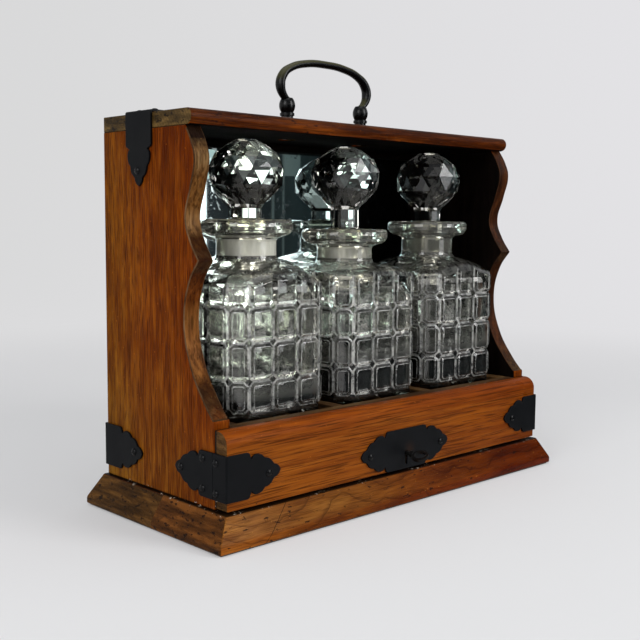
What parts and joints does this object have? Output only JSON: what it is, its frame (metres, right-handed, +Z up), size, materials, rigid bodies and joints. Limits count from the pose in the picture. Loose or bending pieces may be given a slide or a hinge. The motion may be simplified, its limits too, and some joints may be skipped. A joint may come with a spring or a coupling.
{
  "type": "antique tantalus",
  "caption": "Oak stand with a carrying bail and black iron mounts that locks square cut-glass decanters under a fixed top board by a sliding tray.",
  "frame": {"origin": "centre of the plinth's underside, on the surface that the stand rests on", "axes": "+X to the right along the front, +Y from the front to the back, +Z up"},
  "size_m": [0.365, 0.1733, 0.3357],
  "materials": {
    "oak": "warm red-brown varnished oak",
    "dark_wood": "dark stained wood",
    "worn_wood": "bare worn wood",
    "black_iron": "blackened iron",
    "dark_bronze": "old dark bronze",
    "brass": "dull brass",
    "steel": "aged steel",
    "glass": "clear cut glass",
    "mirror": "silvered glass",
    "baize": "green baize"
  },
  "bodies": {
    "case": {"plinth_board_front": "oak", "plinth_board_back": "oak", "side_panel_left": "oak", "side_panel_right": "oak", "top_board": "oak", "back_board": "dark_wood", "mirror_rail_top": "dark_wood", "mirror_bead_bottom": "dark_wood", "mirror_bead_left": "dark_wood", "mirror_bead_right": "dark_wood", "tray_guide_left": "dark_wood", "tray_guide_right": "dark_wood", "tray_stop": "dark_wood", "top_strap_left": "black_iron", "top_strap_right": "black_iron", "back_strap_left": "black_iron", "back_strap_right": "black_iron", "side_leaf_left": "black_iron", "side_leaf_right": "black_iron", "case_strap_screws": "black_iron", "handle_bail": "dark_bronze", "handle_post_left": "dark_bronze", "handle_post_right": "dark_bronze", "handle_nuts": "dark_bronze", "strike_plate": "brass", "strike_pins": "brass", "back_board_screws": "brass", "plinth_screws": "steel", "mirror_glass": "mirror", "base_baize": "baize"},
    "tray": {"front_panel": "oak", "tray_bearer_left": "dark_wood", "tray_bearer_right": "dark_wood", "tray_rear_rail": "dark_wood", "well_floor": "dark_wood", "well_rail_front": "worn_wood", "well_rail_back": "worn_wood", "well_divider_left": "worn_wood", "well_divider_right": "worn_wood", "well_end_left": "worn_wood", "well_end_right": "worn_wood", "well_baize": "baize", "front_strap_left": "black_iron", "front_strap_right": "black_iron", "panel_strap_screws": "black_iron", "escutcheon": "black_iron", "escutcheon_screws": "black_iron", "lock_case": "steel", "lock_cap": "brass", "lock_spring": "steel", "lock_screws": "steel"},
    "key": {"key": "steel"},
    "bolt": {"lock_bolt": "brass"},
    "decanter_left": {"decanter_left": "glass"},
    "stopper_left": {"stopper_left": "glass"},
    "decanter_middle": {"decanter_middle": "glass"},
    "stopper_middle": {"stopper_middle": "glass"},
    "decanter_right": {"decanter_right": "glass"},
    "stopper_right": {"stopper_right": "glass"}
  },
  "joints": [
    {"name": "tray_slide", "type": "slide", "parent": "case", "child": "tray", "axis": [0, -1, 0], "range_m": [0, 0.0795]},
    {"name": "key_turn", "type": "hinge", "parent": "tray", "child": "key", "pos_m": [0.0015, -0.0586, 0.0365], "axis": [0, 1, 0], "range_deg": [0, 60]},
    {"name": "bolt_throw", "type": "slide", "parent": "tray", "child": "bolt", "axis": [0, 0, -1], "range_m": [0, 0.0065]},
    {"name": "decanter_lift_left", "type": "slide", "parent": "tray", "child": "decanter_left", "axis": [0, 0, 1], "range_m": [0, 0.0035]},
    {"name": "decanter_lift_middle", "type": "slide", "parent": "tray", "child": "decanter_middle", "axis": [0, 0, 1], "range_m": [0, 0.0035]},
    {"name": "decanter_lift_right", "type": "slide", "parent": "tray", "child": "decanter_right", "axis": [0, 0, 1], "range_m": [0, 0.0035]},
    {"name": "stopper_turn_left", "type": "hinge", "parent": "decanter_left", "child": "stopper_left", "pos_m": [-0.0998, -0.0051, 0.2], "axis": [0, 0, 1], "continuous": true},
    {"name": "stopper_turn_middle", "type": "hinge", "parent": "decanter_middle", "child": "stopper_middle", "pos_m": [0, -0.0051, 0.2], "axis": [0, 0, 1], "continuous": true},
    {"name": "stopper_turn_right", "type": "hinge", "parent": "decanter_right", "child": "stopper_right", "pos_m": [0.0998, -0.0051, 0.2], "axis": [0, 0, 1], "continuous": true}
  ],
  "couplings": [
    {"joint": "key_turn", "follows": "bolt_throw", "rad_per_m": 161}
  ]
}
